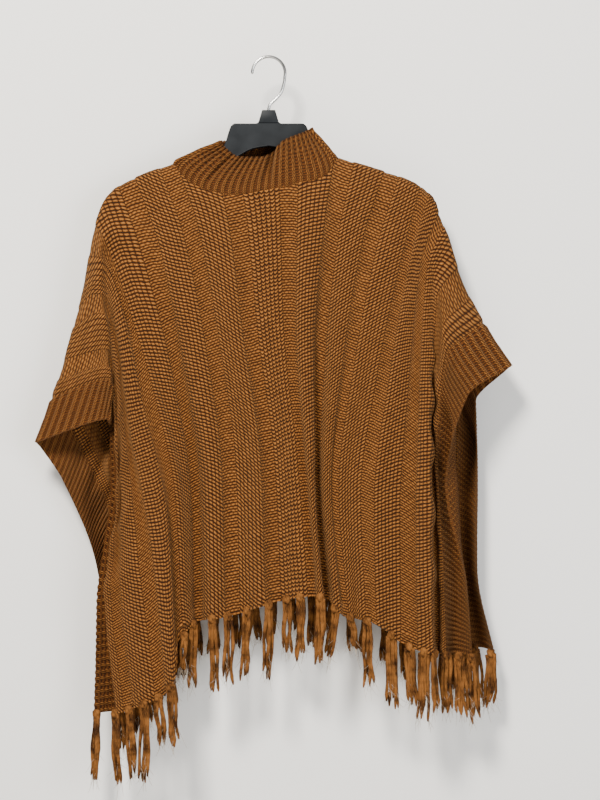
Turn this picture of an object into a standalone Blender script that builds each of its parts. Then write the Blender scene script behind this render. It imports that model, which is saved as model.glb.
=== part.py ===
"""A knitted poncho, hung flat on a plastic hanger with a wire hook.

The frame is +Z up and the front faces -Y. The origin is the inside top of the hook.
Sizes in the tables are millimetres, x to the right and "drop" straight down from the origin.
"""
import math

import bmesh
import bpy
import numpy as np

MM = 0.001

# The cut of the cloth
PANEL_HALF = 384.0          # centre to side seam
BAND_WIDTH = 65.0           # ribbed band beyond the seam
HALF_WIDTH = PANEL_HALF + BAND_WIDTH
LENGTH = 600.0              # shoulder to hem
WALL = 2.6                  # thickness of the knit
SEAM_GAP = 0.3
SIDE_GAP = 0.5              # between a panel and the band knitted on to it
NECK_GAP = 0.7              # the collar stands on a curved edge
CORNER_GAP = 2.5            # and rises a little more where it crosses the shoulder
HEM_GAP = 0.9               # the hem twists, so the strip under it lies a little further off
NECK_HALF = 87.0            # half of the neckline's width
NECK_STEP = 8.0             # a column of points this far inside its corner shapes the curve
FRONT_SCOOP = 75.0
BACK_SCOOP = 40.0
COLLAR_EASE = 16.0          # how far the collar follows the panel before it turns up

# Knit relief
COLUMN_PITCH = 64.0         # one purl column and one plain column
PURL_HALF = 9.0
PURL_EDGE = 19.0
COLUMN_RAISE = 0.6
RIB_PITCH = 10.0
RIB_RAISE = 0.8
COLLAR_RIBS = 52
HEM_ROLL = 18.0
HEM_RAISE = 0.8

# The fold over the hanger and down the sleeves
CROWN = 8.0
SEAT = WALL / 2 + 1.2

# Fringe
STRIP = 5.0                 # height of the knotted strip under the hem
FRONT_TASSELS = 30
BACK_TASSELS = 26
LOCK_WIDTH = 7.0
LOCK_THICK = 5.0

# Hanger and hook
HANGER_THICK = 8.0
WIRE_RADIUS = 1.75
HOOK_RADIUS = 21.5
BOSS_TOP = 70.0
# Rounded edge of the moulding: share of the half thickness, distance in from the edge
HANGER_ROUND = [(-1, 5), (-0.8, 2), (-0.3, 0), (0.3, 0), (0.8, 2), (1, 5)]

# Half profile of the hanger: distance from the middle, drop of the upper edge
HANGER_TOP = [
    (0, 70), (6, 70), (8, 72), (12, 83), (17, 86), (44, 86), (49, 89), (53, 99), (56, 109), (63, 124),
    (74, 138), (88, 145), (105, 148.5), (125, 151), (145, 153), (161, 155.5), (175, 161), (190, 168),
    (199, 174),
]
# Distance from the middle, drop of the lower edge
HANGER_BOTTOM = [
    (0, 116), (20, 119.5), (40, 129.5), (60, 144), (80, 157), (100, 164), (125, 169), (150, 174),
    (175, 180), (190, 184), (199, 182),
]

# Shoulder line, where the cloth is folded: cut position u from the middle, x, drop.
# Where the cloth rests on the hanger's arms the drop follows them instead.
SHOULDER = [
    (-449, -304, 504), (-384, -283, 446), (-330, -263, 384), (-288, -252, 342), (-256, -240, 299),
    (-224, -231, 238), (-192, -214, 188), (-160, -184, 161), (-96, -132, 142), (-32, -66, 114),
    (32, 25, 101), (96, 99, 134), (160, 161, 152.5), (192, 185, 160), (224, 204, 173), (256, 216, 188),
    (288, 225, 212), (320, 236, 242), (352, 254, 295), (384, 280, 347), (449, 317, 404),
]
REST_FROM = 148.0           # the cloth comes down on to the hanger here
REST_TO = 204.0             # and leaves it here

TURN_ROUND = 16.0           # the column stops rising this far before it turns back
TUCK_DIVE = 28.0            # the cloth dives back over this distance at the sleeve's edge
TUCK_RETURN = 130.0         # and has come forward again after this
CHEST = 250.0               # distances down the cloth of the lower rows of points
WAIST = 420.0

# How each knitted column of the front runs in the hung garment: cut position u, then the distance t
# and the place where it turns from the sleeve into the body, and its places at chest, waist and hem.
FRONT_RUN = [
    (-449, 110, -206, 473, -205, 560, -223, 712, -227, 863),
    (-384, 90, -204, 421, -196, 572, -212, 703, -197, 859),
    (-330, 65, -208, 372, -189, 535, -185, 682, -167, 849),
    (-288, 40, -213, 322, -180, 510, -158, 656, -137, 835),
    (-256, 28, -218, 290, -170, 481, -136, 630, -122, 818),
    (-224, 24, -216, 250, -154, 451, -124, 592, -114, 767),
    (-192, 50, -197, 236, -135, 430, -110, 579, -103, 748),
    (-160, 90, -151, 254, -118, 410, -96, 566, -92, 741),
    (-96, 90, -102, 225, -72, 377, -51, 540, -46, 733),
    (-32, 90, -42, 204, -23, 364, 0, 533, 7, 716),
    (32, 90, 27, 191, 28, 347, 42, 516, 58, 707),
    (96, 90, 83, 222, 68, 377, 63, 540, 76, 710),
    (160, 90, 132, 243, 104, 399, 86, 559, 100, 733),
    (224, 90, 180, 264, 150, 412, 128, 572, 133, 740),
    (288, 50, 202, 269, 188, 442, 180, 604, 181, 771),
    (320, 45, 214, 286, 206, 464, 206, 624, 210, 779),
    (352, 60, 222, 334, 214, 488, 218, 637, 220, 781),
    (384, 75, 231, 389, 220, 516, 227, 657, 231, 783),
    (449, 80, 258, 442, 231, 559, 258, 689, 266, 787),
]
# Depth of the front's folds, one row for each crest and trough: u, y at the turn, chest, waist and
# hem, and how far the cloth tucks in behind the sleeve just after the turn.
FRONT_FOLDS = [
    (-449, -38, -2, -2, -4, 18),
    (-384, -36, -26, -22, -24, 10),
    (-330, -34, -30, -31, -34, 10),
    (-256, -28, -32, -41, -46, 10),
    (-190, -16, -20, -14, -14, 4),
    (-165, -16, -17, -10, -10, 0),
    (-125, -20, -26, -28, -28, 0),
    (-78, -22, -26, -20, -18, 0),
    (-48, -22, -30, -33, -34, 0),
    (-16, -20, -24, -22, -22, 0),
    (30, -22, -28, -35, -38, 0),
    (64, -24, -32, -40, -44, 0),
    (106, -20, -22, -20, -21, 0),
    (150, -18, -28, -30, -32, 0),
    (190, -17, -24, -24, -26, 0),
    (226, -18, -30, -34, -36, 0),
    (262, -18, -26, -28, -28, 0),
    (288, -20, -28, -32, -36, 0),
    (318, -16, -34, -44, -46, 0),
    (356, -32, -14, -10, -12, 0),
    (384, -36, -14, -12, -18, 0),
    (449, -38, -26, -20, -14, 0),
]

BACK_RUN = [
    (-449, 60, -272, 552, -229, 660, -214, 750, -201, 831),
    (-384, 60, -253, 500, -206, 611, -190, 721, -180, 823),
    (-320, 60, -232, 429, -183, 565, -164, 695, -157, 802),
    (-256, 60, -219, 357, -159, 520, -141, 656, -133, 773),
    (-160, 60, -167, 225, -128, 416, -109, 565, -97, 724),
    (-96, 60, -118, 199, -79, 377, -60, 540, -53, 710),
    (0, 60, -6, 170, 0, 358, 8, 520, 20, 694),
    (96, 60, 88, 195, 70, 377, 70, 540, 86, 702),
    (160, 60, 142, 217, 114, 399, 106, 559, 129, 718),
    (256, 60, 203, 247, 184, 436, 181, 592, 203, 755),
    (320, 60, 231, 299, 223, 462, 223, 618, 239, 768),
    (384, 60, 257, 397, 249, 514, 246, 650, 265, 778),
    (449, 60, 272, 450, 275, 550, 274, 666, 298, 787),
]
BACK_FOLDS = [
    (-449, 12, 20, 16, 14, 0),
    (-384, 14, 26, 26, 24, 0),
    (-320, 12, 18, 18, 20, 0),
    (-256, 12, 26, 34, 36, 0),
    (-190, 12, 18, 20, 25, 0),
    (-128, 14, 25, 31, 33, 0),
    (-66, 14, 19, 17, 18, 0),
    (-8, 14, 24, 32, 34, 0),
    (58, 14, 18, 18, 16, 0),
    (120, 14, 25, 30, 34, 0),
    (186, 13, 18, 17, 16, 0),
    (250, 13, 26, 32, 35, 0),
    (320, 12, 18, 17, 18, 0),
    (384, 14, 25, 24, 22, 0),
    (449, 10, 16, 14, 14, 0),
]

# Rows of points down a panel, closer together over the shoulder and at the turn of the sleeve. Each
# lies on a rib or a groove of the side bands, so that both sides of a seam have the same corners.
ROWS = [0, 5, 10, 15, 35, 55, 75, 95, 115, 140, 165, 205, 255, 310, 370, 435, 505, 570, 595]
BACK_ROWS = [0, 5, 10, 15, 40, 70, 110, 160, 220, 290, 360, 435, 505, 570, 595]

# Upper edge of the collar, front then back, left to right: x, drop, y
COLLAR_TOP_FRONT = [
    (-64, 112, 0), (-61, 115, -8), (-36, 131, -16), (-8, 131, -15), (22, 109, -17), (51, 96, -9), (55, 93, 0),
]
COLLAR_TOP_BACK = [(-64, 112, 0), (-61, 110, 8), (-20, 103, 17), (20, 99, 17), (51, 94, 9), (55, 93, 0)]


def eased(knots, values, at):
    """A smooth curve through the rows that never overshoots a crest or a trough."""
    knots = np.asarray(knots, float)
    values = np.asarray(values, float)
    at = np.clip(np.asarray(at, float), knots[0], knots[-1])
    step = np.diff(knots)
    slope = np.diff(values) / step
    lean = np.zeros(len(knots))
    lean[0] = slope[0]
    lean[-1] = slope[-1]
    same = slope[1:] * slope[:-1] > 0
    total = slope[1:] + slope[:-1]
    lean[1:-1] = np.where(same, 2 * slope[1:] * slope[:-1] / np.where(same, total, 1), 0)
    i = np.clip(np.searchsorted(knots, at, side="right") - 1, 0, len(step) - 1)
    h = step[i]
    s = (at - knots[i]) / h
    rise = values[i + 1] - values[i]
    return (values[i] + rise * s * s * (3 - 2 * s)
            + h * s * (1 - s) * (lean[i] * (1 - s) - lean[i + 1] * s))


def column(table, index):
    return [row[index] for row in table]


def hanger_top(x):
    return eased(column(HANGER_TOP, 0), column(HANGER_TOP, 1), np.abs(x))


def shoulder(u):
    """Place of the folded edge: over the hanger it lies on the hanger, beyond it the sleeve hangs."""
    knots = column(SHOULDER, 0)
    x = eased(knots, column(SHOULDER, 1), u)
    hung = eased(knots, column(SHOULDER, 2), u)
    resting = hanger_top(x) - SEAT
    off = np.abs(x)
    rests = np.clip((off - REST_FROM) / 20, 0, 1) * np.clip((REST_TO - off) / 8, 0, 1)
    return x, resting * rests + hung * (1 - rests)


def column_points(side, u, ts):
    """Middle of the wall along one knitted column of the front (side -1) or the back (side 1)."""
    run, folds = (FRONT_RUN, FRONT_FOLDS) if side < 0 else (BACK_RUN, BACK_FOLDS)
    run_at = [float(eased(column(run, 0), column(run, i), u)) for i in range(1, 10)]
    turn, chest, waist, hem, tuck = [float(eased(column(folds, 0), column(folds, i), u)) for i in range(1, 6)]
    top_x, top_drop = shoulder(u)
    stations = [0, run_at[0], CHEST, WAIST, LENGTH]
    rising = min(max((float(top_drop) - run_at[2] + 20) / 40, 0), 1)
    round_off = rising * min(TURN_ROUND, run_at[0] / 2)
    drop_stations = [0, run_at[0] - round_off, CHEST, WAIST, LENGTH]
    ts = np.asarray(ts, float)
    quarter = CROWN * math.pi / 2
    angle = np.clip(ts / CROWN, 0, math.pi / 2)
    flat = np.where(ts < quarter, CROWN * (1 - np.cos(angle)), ts - quarter + CROWN)
    flat = flat * LENGTH / (LENGTH - quarter + CROWN)
    x = eased(stations, [float(top_x), run_at[1], run_at[3], run_at[5], run_at[7]], flat)
    drop = eased(drop_stations, [float(top_drop), run_at[2], run_at[4], run_at[6], run_at[8]], flat)
    y = eased(stations, [side * CROWN, turn, chest, waist, hem], flat)
    y = y - side * CROWN * (1 - np.sin(angle))
    past = flat - run_at[0]
    dive = np.clip((past + TUCK_DIVE / 4) / TUCK_DIVE, 0, 1)
    easing = np.clip(1 - past / TUCK_RETURN, 0, 1)
    y = y + tuck * dive * dive * (3 - 2 * dive) * easing * easing * (3 - 2 * easing)
    return np.stack([x, y, -drop], axis=-1)


def sheet_points(side, us, t_rows):
    """Middle points and outward directions of a panel, as rows down and columns across."""
    t_rows = np.asarray(t_rows, float)
    step = 3.0
    middle = np.zeros((len(t_rows), len(us), 3))
    outward = np.zeros_like(middle)
    for j, u in enumerate(us):
        ts = t_rows[:, j]
        middle[:, j] = column_points(side, u, ts)
        below = column_points(side, u, np.minimum(ts + step, LENGTH))
        above = column_points(side, u, np.maximum(ts - step, 0))
        left = column_points(side, max(u - step, -HALF_WIDTH), ts)
        right = column_points(side, min(u + step, HALF_WIDTH), ts)
        facing = np.cross(right - left, above - below) * -side
        facing[ts == 0, 1] = 0
        outward[:, j] = facing / np.linalg.norm(facing, axis=1, keepdims=True)
    return middle, outward


def scoop(side, u):
    """Depth of the neckline below the shoulder line."""
    deepest = FRONT_SCOOP if side < 0 else BACK_SCOOP
    inside = np.clip(1 - (np.abs(u) / NECK_HALF) ** 2.2, 0, 1)
    return deepest * np.sqrt(inside)


def column_relief(u):
    """Plain columns stand proud of the purl columns between them."""
    off = abs((u / COLUMN_PITCH) % 1 - 0.5) * COLUMN_PITCH
    return COLUMN_RAISE * (1 if off > (PURL_HALF + PURL_EDGE) / 2 else -1)


def make_object(name, verts, faces, colour, roughness, metallic=0.0):
    mesh = bpy.data.meshes.new(name)
    mesh.from_pydata([tuple(c * MM for c in v) for v in verts], [], faces)
    mesh.validate()
    mesh.update()
    material = bpy.data.materials.new(name)
    material.use_nodes = True
    shader = material.node_tree.nodes["Principled BSDF"]
    shader.inputs["Base Color"].default_value = (*colour, 1)
    shader.inputs["Roughness"].default_value = roughness
    shader.inputs["Metallic"].default_value = metallic
    mesh.materials.append(material)
    thing = bpy.data.objects.new(name, mesh)
    bpy.context.scene.collection.objects.link(thing)
    return thing


def wall_mesh(middle, outward, relief, ring=False):
    """A closed wall on a grid of middle points. Its outer points carry the relief."""
    rows, cols = middle.shape[:2]
    outer = middle + outward * (WALL / 2 + relief)[..., None]
    inner = middle - outward * (WALL / 2)
    verts = np.concatenate([outer.reshape(-1, 3), inner.reshape(-1, 3)])
    base = rows * cols

    def at(i, j, layer):
        return layer * base + i * cols + j % cols

    faces = []
    spans = cols if ring else cols - 1
    for i in range(rows - 1):
        for j in range(spans):
            faces.append((at(i, j, 0), at(i + 1, j, 0), at(i + 1, j + 1, 0), at(i, j + 1, 0)))
            faces.append((at(i, j, 1), at(i, j + 1, 1), at(i + 1, j + 1, 1), at(i + 1, j, 1)))
    for j in range(spans):
        faces.append((at(0, j, 0), at(0, j + 1, 0), at(0, j + 1, 1), at(0, j, 1)))
        last = rows - 1
        faces.append((at(last, j, 0), at(last, j, 1), at(last, j + 1, 1), at(last, j + 1, 0)))
    if not ring:
        last = cols - 1
        for i in range(rows - 1):
            faces.append((at(i, 0, 0), at(i, 0, 1), at(i + 1, 0, 1), at(i + 1, 0, 0)))
            faces.append((at(i, last, 0), at(i + 1, last, 0), at(i + 1, last, 1), at(i, last, 1)))
    return verts, faces


def face_outward(thing):
    mesh = thing.data
    shape = bmesh.new()
    shape.from_mesh(mesh)
    bmesh.ops.recalc_face_normals(shape, faces=shape.faces)
    shape.to_mesh(mesh)
    shape.free()
    mesh.shade_smooth()
    mesh.set_sharp_from_angle(angle=math.radians(40))


KNIT = (0.36, 0.17, 0.035)
BAND = (0.33, 0.15, 0.03)


def panel_columns():
    """Cut positions of a panel's columns of points: four round each purl column."""
    us = [-PANEL_HALF, PANEL_HALF]
    count = int(2 * PANEL_HALF / COLUMN_PITCH)
    for k in range(count):
        middle = (k + 0.5) * COLUMN_PITCH - PANEL_HALF
        us += [middle - PURL_EDGE, middle - PURL_HALF, middle + PURL_HALF, middle + PURL_EDGE]
    us += [-NECK_HALF + NECK_STEP, NECK_HALF - NECK_STEP]
    return sorted(us)


def row_places(side, us, rows):
    """Distances down the cloth: rows start at the neckline and end together at the hem."""
    neck = scoop(side, np.asarray(us, float))
    share = np.asarray(rows, float)[:, None] / ROWS[-1]
    return neck[None, :] * (1 - share) + ROWS[-1] * share


def part_at_seam(middle, edge_column, next_column):
    """Draws a piece's edge back from the seam by half the gap, measured on the cloth itself."""
    pull = middle[:, next_column] - middle[:, edge_column]
    pull /= np.linalg.norm(pull, axis=1, keepdims=True)
    middle[:, edge_column] += pull * SIDE_GAP / 2


def steady_seam(outward, edge_column):
    """Evens out the directions down a seam, so that the two walls that meet there twist together."""
    line = outward[:, edge_column].copy()
    for _ in range(3):
        line[1:-1] = line[:-2] + 2 * line[1:-1] + line[2:]
        line /= np.linalg.norm(line, axis=1, keepdims=True)
    outward[:, edge_column] = line


def panel_grid(side):
    us = np.array(panel_columns())
    rows = ROWS if side < 0 else BACK_ROWS
    ts = row_places(side, us, rows)
    middle, outward = sheet_points(side, us, ts)
    for edge_column, next_column in ((0, 1), (-1, -2)):
        part_at_seam(middle, edge_column, next_column)
        steady_seam(outward, edge_column)
    middle[0][np.abs(us) >= NECK_HALF, 1] = side * SEAM_GAP / 2
    return us, ts, middle, outward


def build_panel(name, side):
    us, ts, middle, outward = panel_grid(side)
    columns = np.array([column_relief(u) for u in us])
    relief = np.where(ts > LENGTH - HEM_ROLL - 8, HEM_RAISE, columns[None, :])
    verts, faces = wall_mesh(middle, outward, relief)
    thing = make_object(name, verts, faces, KNIT, 0.9)
    face_outward(thing)
    return us, middle, outward


def band_side(side, edge):
    """Points of one half of a side band, ribs up and down along the chords of its rows."""
    us = [edge * PANEL_HALF, edge * HALF_WIDTH]
    rows = ROWS if side < 0 else BACK_ROWS
    ts = np.repeat(np.array(rows)[:, None], len(us), axis=1)
    middle, outward = sheet_points(side, us, ts)
    part_at_seam(middle, 0, 1)
    steady_seam(outward, 0)
    first = RIB_PITCH / 2 if side < 0 else 0
    marks = np.arange(first, ROWS[-1] + 1, RIB_PITCH / 2)
    fine_middle = np.zeros((len(marks), len(us), 3))
    fine_outward = np.zeros_like(fine_middle)
    for j in range(len(us)):
        for axis in range(3):
            fine_middle[:, j, axis] = np.interp(marks, rows, middle[:, j, axis])
            fine_outward[:, j, axis] = np.interp(marks, rows, outward[:, j, axis])
    relief = np.where(np.round(2 * marks / RIB_PITCH) % 2 == 0, RIB_RAISE, -RIB_RAISE)
    return fine_middle, fine_outward, np.repeat(relief[:, None], len(us), axis=1)


def build_band(name, edge):
    front_middle, front_outward, front_relief = band_side(-1, edge)
    back_middle, back_outward, back_relief = band_side(1, edge)
    middle = np.concatenate([front_middle[::-1], back_middle])
    outward = np.concatenate([front_outward[::-1], back_outward])
    relief = np.concatenate([front_relief[::-1], back_relief])
    verts, faces = wall_mesh(middle, outward, relief)
    thing = make_object(name, verts, faces, BAND, 0.9)
    face_outward(thing)


def neckline(grids):
    """The panels' neck edge as one loop: places, outward directions and the way on into the collar."""
    loop = []
    for side, order in ((-1, 1), (1, -1)):
        us, middle, outward = grids[side]
        inside = [j for j, u in enumerate(us) if abs(u) <= NECK_HALF]
        for j in inside[::order]:
            place = middle[0, j]
            onward = middle[0, j] - middle[1, j]
            if abs(us[j]) == NECK_HALF:
                onward = np.array([-math.copysign(1, us[j]), 0, 0.7])
            onward = onward - outward[0, j] * np.dot(onward, outward[0, j])
            onward /= np.linalg.norm(onward)
            gap = CORNER_GAP if abs(us[j]) > NECK_HALF - 12 else NECK_GAP
            loop.append((place + onward * gap, outward[0, j], onward))
    return loop


def smoothed(rows):
    """The same closed run of directions with each one eased towards its neighbours."""
    mixed = rows * 2 + np.roll(rows, 1, axis=0) + np.roll(rows, -1, axis=0)
    return mixed / np.linalg.norm(mixed, axis=1, keepdims=True)


def along_loop(points, count):
    """Evenly spaced places along a closed chain, read on its straight chords."""
    points = np.array(points)
    closed = np.concatenate([points, points[:1]])
    lengths = np.linalg.norm(np.diff(closed[:, :3], axis=0), axis=1)
    reach = np.concatenate([[0], np.cumsum(lengths)])
    marks = np.arange(count) * reach[-1] / count
    return np.stack([np.interp(marks, reach, closed[:, i]) for i in range(closed.shape[1])], axis=1)


def build_collar(grids):
    loop = neckline(grids)
    count = 2 * COLLAR_RIBS
    base = along_loop([np.concatenate(row) for row in loop], count)
    for _ in range(3):
        base[:, 6:9] = smoothed(base[:, 6:9])
    top = []
    for j in range(count):
        x, y = base[j, 0], base[j, 1]
        table = COLLAR_TOP_FRONT if y < 0 else COLLAR_TOP_BACK
        left, right = table[0][0], table[-1][0]
        low, high = base[:, 0].min(), base[:, 0].max()
        across = (x - low) / (high - low)
        share = 0.5 - 0.5 * math.cos(math.pi * across)
        share = 0.5 * share + 0.5 * across
        top_x = left + (right - left) * share
        top.append((top_x, float(eased(column(table, 0), column(table, 2), top_x)),
                    -float(eased(column(table, 0), column(table, 1), top_x))))
    top = np.array(top)
    levels = [0, 0.3, 0.65, 1]
    middle = np.zeros((len(levels), count, 3))
    for i, s in enumerate(levels):
        start = base[:, :3]
        bend = start + base[:, 6:9] * COLLAR_EASE
        middle[i] = start * (1 - s) ** 2 + bend * 2 * s * (1 - s) + top * s * s
    ahead = np.roll(middle, -1, axis=1) - np.roll(middle, 1, axis=1)
    up = np.gradient(middle, axis=0)
    outward = np.cross(ahead, up)
    outward /= np.linalg.norm(outward, axis=2, keepdims=True)
    outward[0] = base[:, 3:6] / np.linalg.norm(base[:, 3:6], axis=1, keepdims=True)
    ribs = np.where(np.arange(count) % 2 == 0, RIB_RAISE, -RIB_RAISE)
    relief = np.repeat(ribs[None, :], len(levels), axis=0)
    relief[0] = 0
    verts, faces = wall_mesh(middle[::-1], outward[::-1], relief[::-1], ring=True)
    thing = make_object("collar", verts, faces, BAND, 0.9)
    face_outward(thing)


def fringe_places(side, count):
    """Cut positions of the tassels, a little uneven."""
    spacing = 2 * (HALF_WIDTH - 12) / (count - 1)
    return [k * spacing - (HALF_WIDTH - 12) + 3.5 * math.sin(5.1 * k + side) for k in range(count)]


def between_columns(u, hem):
    """A tassel's root lies between two columns of points, so that its strip follows the hem."""
    for c in hem:
        if abs(c - u) < LOCK_WIDTH / 2:
            return c + math.copysign(LOCK_WIDTH / 2, u - c)
    return u


def tassel_length(side, u, k):
    """Longer at the left corner, as it hangs, and uneven all along."""
    usual = 86 if u < -PANEL_HALF + 110 else 82
    if side > 0:
        usual = 72
    return usual + 9 * math.sin(2.7 * k + 1.3 * side)


def build_fringe(name, side, count):
    """A strip just under the hem. Each lock grows out of a face of the strip's lower edge."""
    hem = [-HALF_WIDTH, *panel_columns(), HALF_WIDTH]
    places = [between_columns(u, hem) for u in fringe_places(side, count)]
    edges = [u + half for u in places for half in (-LOCK_WIDTH / 2, LOCK_WIDTH / 2)]
    us = sorted(set(np.round(hem + edges, 3)))
    last_rows = row_places(side, hem, ROWS[-2:])
    places_above, facing = sheet_points(side, hem, last_rows)
    down = places_above[1] - places_above[0]
    down /= np.linalg.norm(down, axis=1, keepdims=True)
    middle = np.zeros((2, len(us), 3))
    outward = np.zeros_like(middle)
    for i, reach in enumerate((HEM_GAP, STRIP)):
        edge = places_above[1] + down * reach
        for axis in range(3):
            middle[i, :, axis] = np.interp(us, hem, edge[:, axis])
            outward[i, :, axis] = np.interp(us, hem, facing[1, :, axis])
    verts, faces = wall_mesh(middle, outward, np.zeros(middle.shape[:2]))
    verts = [tuple(v) for v in verts]
    cols = len(us)
    base = 2 * cols
    for k, u in enumerate(places):
        j = us.index(np.round(u - LOCK_WIDTH / 2, 3))
        root = (cols + j, base + cols + j, base + cols + j + 1, cols + j + 1)
        faces.remove(root)
        length = tassel_length(side, u, k)
        lean = 5 * math.sin(3.9 * k + 2 * side)
        centre = sum(np.array(verts[i]) for i in root) / 4
        ring = list(root)
        for s, width in ((0.35, 1.0), (1.0, 0.4)):
            shift = np.array([lean * s * s, 0, -length * s])
            spread = [np.array(verts[i]) - centre for i in root]
            new = []
            for offset in spread:
                place = centre + shift + offset * width
                place[1] = centre[1] + offset[1] * width * LOCK_THICK / WALL
                new.append(len(verts))
                verts.append(tuple(place))
            for a in range(4):
                b = (a + 1) % 4
                faces.append((ring[a], ring[b], new[b], new[a]))
            ring = new
        faces.append(tuple(ring))
    thing = make_object(name, verts, faces, KNIT, 0.95)
    face_outward(thing)


def build_hanger():
    """Moulded arms and centre plate, one rounded section after another from end to end."""
    stops = sorted({x for x, _ in HANGER_TOP} | {30.0, 137.0, 187.0})
    xs = [-x for x in stops[::-1] if x] + stops
    half = HANGER_THICK / 2
    verts = []
    for x in xs:
        top = float(hanger_top(x))
        bottom = float(eased(column(HANGER_BOTTOM, 0), column(HANGER_BOTTOM, 1), abs(x)))
        squeeze = min(1, (bottom - top) / 13)
        for y, down in HANGER_ROUND:
            verts.append((x, y * half, -(top + down * squeeze)))
        for y, down in HANGER_ROUND[::-1]:
            verts.append((x, y * half, -(bottom - down * squeeze)))
    sides = 2 * len(HANGER_ROUND)
    faces = [tuple(range(sides)), tuple(len(verts) - sides + i for i in range(sides))]
    for i in range(len(xs) - 1):
        for k in range(sides):
            a = i * sides + k
            b = i * sides + (k + 1) % sides
            faces.append((a, b, b + sides, a + sides))
    thing = make_object("hanger", verts, faces, (0.02, 0.022, 0.026), 0.35)
    face_outward(thing)


def build_hook():
    """Round wire: up from the neck, out to the side, over the top and down to a plain end."""
    centre = HOOK_RADIUS - WIRE_RADIUS
    route = [(0, BOSS_TOP - 0.3), (0, 65), (4, 58.5), (10, 53), (15.5, 47), (18.6, 39)]
    for k in range(15):
        angle = math.radians(-28 + k * 15)
        route.append((HOOK_RADIUS * math.cos(angle), centre - HOOK_RADIUS * math.sin(angle)))
    curve = bpy.data.curves.new("hook", "CURVE")
    curve.dimensions = "3D"
    curve.bevel_depth = WIRE_RADIUS * MM
    curve.bevel_resolution = 2
    curve.use_fill_caps = True
    spline = curve.splines.new("POLY")
    spline.points.add(len(route) - 1)
    for point, (x, drop) in zip(spline.points, route):
        point.co = (x * MM, 0, -drop * MM, 1)
    material = bpy.data.materials.new("hook")
    material.use_nodes = True
    shader = material.node_tree.nodes["Principled BSDF"]
    shader.inputs["Base Color"].default_value = (0.6, 0.6, 0.6, 1)
    shader.inputs["Roughness"].default_value = 0.15
    shader.inputs["Metallic"].default_value = 1.0
    curve.materials.append(material)
    thing = bpy.data.objects.new("hook", curve)
    bpy.context.scene.collection.objects.link(thing)


for old in list(bpy.data.objects):
    bpy.data.objects.remove(old, do_unlink=True)
grids = {}
grids[-1] = build_panel("front_panel", -1)
grids[1] = build_panel("back_panel", 1)
build_band("band_left", -1)
build_band("band_right", 1)
build_collar(grids)
build_fringe("front_fringe", -1, FRONT_TASSELS)
build_fringe("back_fringe", 1, BACK_TASSELS)
build_hanger()
build_hook()
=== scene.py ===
"""A chunky knitted poncho on a black plastic hanger: the looks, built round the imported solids.

Metres in Blender, millimetres in the tables, x to the right and "drop" straight down from the inside
top of the hook. The front faces -Y.
"""
import math

import bmesh
import bpy
import numpy as np
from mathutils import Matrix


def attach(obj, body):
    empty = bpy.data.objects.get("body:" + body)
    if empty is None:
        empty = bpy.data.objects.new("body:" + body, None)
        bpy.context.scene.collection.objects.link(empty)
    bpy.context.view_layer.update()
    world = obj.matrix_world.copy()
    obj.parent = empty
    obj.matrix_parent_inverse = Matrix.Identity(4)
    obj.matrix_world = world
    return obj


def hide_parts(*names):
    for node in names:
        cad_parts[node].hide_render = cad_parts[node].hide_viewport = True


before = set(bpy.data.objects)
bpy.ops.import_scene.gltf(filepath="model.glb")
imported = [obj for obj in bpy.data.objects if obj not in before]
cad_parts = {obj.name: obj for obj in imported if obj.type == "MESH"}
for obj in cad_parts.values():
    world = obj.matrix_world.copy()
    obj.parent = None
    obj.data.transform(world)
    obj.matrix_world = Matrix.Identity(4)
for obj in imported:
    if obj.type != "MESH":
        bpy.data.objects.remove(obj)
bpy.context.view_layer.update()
bpy.ops.object.select_all(action="DESELECT")

# The hanger is one black injection moulding: two sloping arms, a centre plate with a shallow arch cut
# out under it and a tapered neck that takes the wire. It has rounded edges and a fine satin skin, with
# a thin bead along the arch where the mould closes.
MM = 0.001
HANGER_THICK = 8.0
HANGER_TOP = [
    (0, 70), (6, 70), (8, 72), (12, 83), (17, 86), (44, 86), (49, 89), (53, 99), (56, 109), (63, 124),
    (74, 138), (88, 145), (105, 148.5), (125, 151), (145, 153), (161, 155.5), (175, 161), (190, 168),
    (199, 174),
]
HANGER_BOTTOM = [
    (0, 116), (20, 119.5), (40, 129.5), (60, 144), (80, 157), (100, 164), (125, 169), (150, 174),
    (175, 180), (190, 184), (199, 182),
]
NECK_TOP_HALF = 8.6
NECK_FOOT_HALF = 13.6
NECK_TOP = 68.6
NECK_FOOT = 85.5
NECK_THICK = HANGER_THICK + 2.4
HANGER_ROUND = 1.6
NECK_ROUND = 0.9
BEAD_RADIUS = 0.75
BEAD_ABOVE = 1.3
BEAD_REACH = 70


def eased(knots, values, at):
    """A smooth curve through the rows that never overshoots a crest or a trough."""
    knots = np.asarray(knots, float)
    values = np.asarray(values, float)
    at = np.clip(np.asarray(at, float), knots[0], knots[-1])
    step = np.diff(knots)
    slope = np.diff(values) / step
    lean = np.zeros(len(knots))
    lean[0] = slope[0]
    lean[-1] = slope[-1]
    same = slope[1:] * slope[:-1] > 0
    total = slope[1:] + slope[:-1]
    lean[1:-1] = np.where(same, 2 * slope[1:] * slope[:-1] / np.where(same, total, 1), 0)
    i = np.clip(np.searchsorted(knots, at, side="right") - 1, 0, len(step) - 1)
    h = step[i]
    s = (at - knots[i]) / h
    rise = values[i + 1] - values[i]
    return (values[i] + rise * s * s * (3 - 2 * s)
            + h * s * (1 - s) * (lean[i] * (1 - s) - lean[i + 1] * s))


def column(table, index):
    return [row[index] for row in table]


def hanger_top(x):
    return eased(column(HANGER_TOP, 0), column(HANGER_TOP, 1), np.abs(x))


def calc(tree, operation, *values):
    """One Math node on sockets and plain numbers, and its result."""
    node = tree.nodes.new("ShaderNodeMath")
    node.operation = operation
    for socket, value in zip(node.inputs, values):
        if isinstance(value, bpy.types.NodeSocket):
            tree.links.new(value, socket)
        else:
            socket.default_value = value
    return node.outputs[0]


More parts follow.
